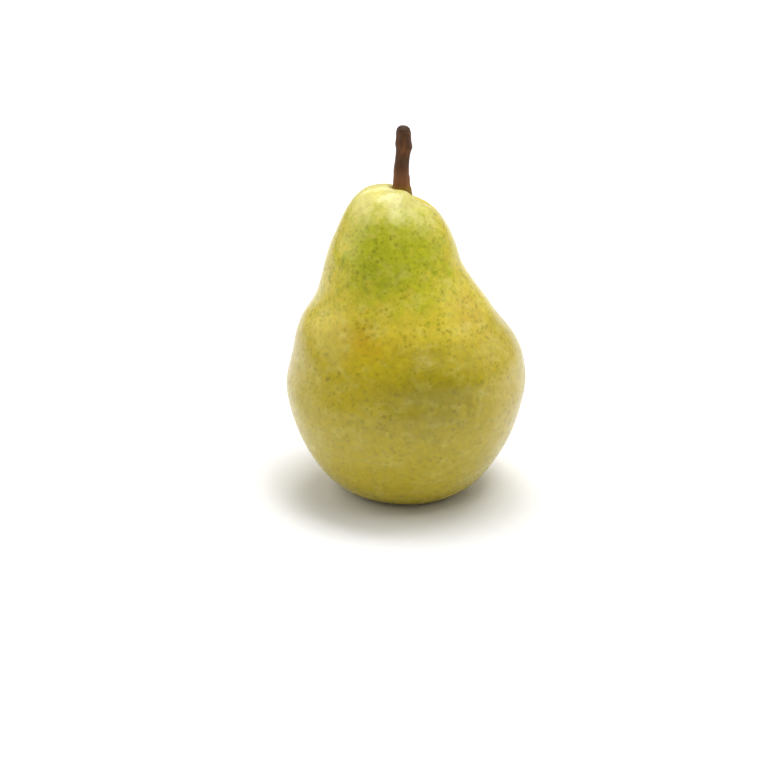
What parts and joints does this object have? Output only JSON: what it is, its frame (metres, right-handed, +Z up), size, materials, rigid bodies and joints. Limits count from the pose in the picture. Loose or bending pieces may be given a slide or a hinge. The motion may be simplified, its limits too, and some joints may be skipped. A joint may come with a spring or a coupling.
{
  "type": "pear",
  "caption": "Whole fresh pear standing on its flower end, with a woody stem in an oblique top and a dried calyx in the hollow underneath.",
  "frame": {"origin": "on the plane the fruit rests on, under the middle of its bounding box", "axes": "+Z up, from the flower end to the stem; the fruit's front faces -Y, and its neck leans to -X"},
  "size_m": [0.0703, 0.0703, 0.1099],
  "materials": {
    "pear_skin": "satin",
    "stem_bark": "matte",
    "dried_sepal": "matte",
    "dried_stamen": "matte"
  },
  "bodies": {
    "root": {"fruit": "pear_skin", "stem": "stem_bark", "calyx_cup": "dried_sepal", "sepal_1": "dried_sepal", "sepal_2": "dried_sepal", "sepal_3": "dried_sepal", "sepal_4": "dried_sepal", "sepal_5": "dried_sepal", "stamen_tuft": "dried_stamen"}
  },
  "joints": []
}
